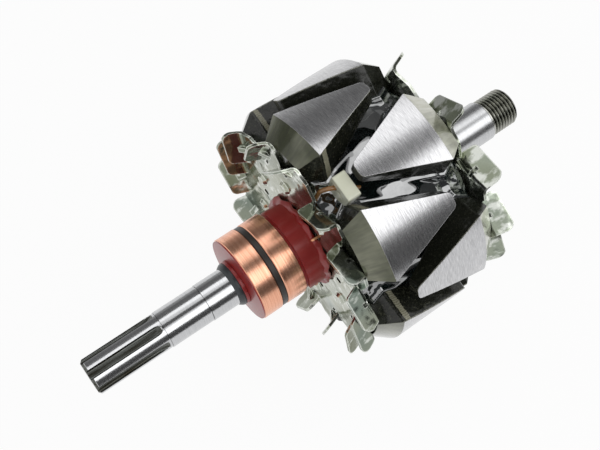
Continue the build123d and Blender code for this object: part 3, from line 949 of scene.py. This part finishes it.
# The front fan gets lighter painted shade and a larger share of painted reflections than the rear one.
rear_zinc = fan_finish("zinc_rear_fan", blade_painted_shade=(0.58, 0.60, 0.56, 1), reflection_share=0.28)
front_zinc = fan_finish("zinc_front_fan", blade_painted_shade=(0.72, 0.76, 0.71, 1), reflection_share=0.42)
dress(rear_zinc, "fan_zinc", "rear_fan")
dress(front_zinc, "fan_zinc", "front_fan")

# %% [markdown]
# ## Light, floor and background
#
# The photo was taken in a white light tent. Polished metal shows the tent round it, so the tent is what
# gives the steel its look: white walls, with dark gaps that run along the shaft. Painting the bands on
# the metal would be wrong as soon as it turns. Dark cards that only reflections see make the same gaps,
# and the metal picks them up by itself.
#
# The world and the floor are white for the camera and for reflections. The other rays, which carry light
# about, see a dimmer room, so that shadows stay. The Light Path node tells the two kinds apart.

# %% White world
ROOM_STRENGTH = 0.45


def seen_ray(tree):
    """One for a ray from the camera, a reflection or glass, and zero for one that lights a surface."""
    path = tree.nodes.new("ShaderNodeLightPath").outputs
    mirrored = add_math(tree, "MAXIMUM", path["Is Glossy Ray"], path["Is Transmission Ray"])
    return add_math(tree, "MAXIMUM", path["Is Camera Ray"], mirrored)


world = bpy.data.worlds.new("light_tent")
bpy.context.scene.world = world
world.use_nodes = True
sky = world.node_tree
sky.nodes.clear()
white = add_node(sky, "ShaderNodeBackground", WHITE, 1.0).outputs[0]
room = add_node(sky, "ShaderNodeBackground", WHITE, ROOM_STRENGTH).outputs[0]
both = add_node(sky, "ShaderNodeMixShader", seen_ray(sky), room, white).outputs[0]
add_node(sky, "ShaderNodeOutputWorld", both)
bpy.context.scene.view_settings.view_transform = "Standard"
print("world:", len(sky.nodes), "nodes")

# %% Pale floor
FLOOR_REACH = 3.0
FLOOR_GLOW_SHARE = 0.94


def lay_floor(z):
    """A white floor at this height. A little of its own shading shows, which keeps the shadow."""
    mesh = bpy.data.meshes.new("floor")
    corners = [(x * FLOOR_REACH, y * FLOOR_REACH, z) for x, y in ((-1, -1), (1, -1), (1, 1), (-1, 1))]
    mesh.from_pydata(corners, [], [(0, 1, 2, 3)])
    floor = bpy.data.objects.new("floor", mesh)
    bpy.context.scene.collection.objects.link(floor)
    finish, tree, shader = new_finish("floor_white", Base_Color=(0.9, 0.9, 0.9, 1), Roughness=0.9)
    glow = add_node(tree, "ShaderNodeEmission", WHITE, 1.0).outputs[0]
    shown = add_math(tree, "MULTIPLY", seen_ray(tree), FLOOR_GLOW_SHARE)
    mixed = add_node(tree, "ShaderNodeMixShader", shown, shader.outputs[0], glow).outputs[0]
    tree.links.new(mixed, tree.nodes["Material Output"].inputs[0])
    mesh.materials.append(finish)


lay_floor(cad_box[0][2])
print("floor at", round(cad_box[0][2] / MM, 2), "mm")

# %% [markdown]
# Two long soft lamps light the rotor at a plain level from the tent's wall. The cards hang just behind
# them. An angle round the shaft starts at +Y, on the far side, and goes up over +Z. The far side gets
# darker in steps from the floor upwards, as the photo's bands fade there, and the top and the near side
# each have one even gap.

# %% Soft lamps
TENT_RADIUS = 0.9
TENT_SHIFT = 0.3


def tent_place(angle):
    """A place on the tent's wall at this angle round the shaft."""
    turn = math.radians(angle)
    return Vector((TENT_SHIFT, TENT_RADIUS * math.cos(turn), TENT_RADIUS * math.sin(turn)))


def add_lamp(name, angle, length, width, power):
    """A long soft lamp on the tent's wall that faces the rotor."""
    data = bpy.data.lights.new(name, "AREA")
    data.shape = "RECTANGLE"
    data.size = length
    data.size_y = width
    data.energy = power
    lamp = bpy.data.objects.new(name, data)
    lamp.location = tent_place(angle)
    lamp.rotation_euler = (-lamp.location).to_track_quat("-Z", "Y").to_euler()
    bpy.context.scene.collection.objects.link(lamp)


add_lamp("lamp_bright", angle=128.0, length=1.4, width=0.58, power=2.7)
add_lamp("lamp_soft", angle=72.0, length=1.2, width=0.34, power=0.9)

# %% Dark cards of the tent
CARD_REACH = 1.0
CARD_GAP = 1.02
# Each card: its name, the angles it covers, how bright its grey is, and its number of flat panels.
CARDS = (
    ("card_far_0", -26.0, -14.0, 0.78, 4),
    ("card_far_1", -14.0, -4.0, 0.6, 4),
    ("card_far_2", -4.0, 6.0, 0.42, 4),
    ("card_far_3", 6.0, 18.0, 0.32, 4),
    ("card_far_4", 18.0, 52.0, 0.17, 4),
    ("card_top", 87.5, 108.0, 0.09, 10),
    ("card_near", 147.0, 190.0, 0.08, 10),
)


def add_card(name, low, high, grey, panels):
    """A dark card along the shaft that covers these angles of the tent, seen only in reflections."""
    finish = new_finish(
        name,
        Base_Color=(0, 0, 0, 1),
        Roughness=1.0,
        Specular_IOR_Level=0.0,
        Emission_Color=WHITE,
        Emission_Strength=grey,
    )[0]
    mesh = bpy.data.meshes.new(name)
    points = []
    for i in range(panels + 1):
        place = tent_place(low + (high - low) * i / panels) * CARD_GAP
        points.append((place.x - CARD_REACH, place.y, place.z))
        points.append((place.x + CARD_REACH, place.y, place.z))
    mesh.from_pydata(points, [], [(2 * i, 2 * i + 1, 2 * i + 3, 2 * i + 2) for i in range(panels)])
    mesh.materials.append(finish)
    card = bpy.data.objects.new(name, mesh)
    bpy.context.scene.collection.objects.link(card)
    card.visible_camera = False
    card.visible_diffuse = False
    card.visible_shadow = False


for card_settings in CARDS:
    add_card(*card_settings)
print("cards:", [settings[0] for settings in CARDS])
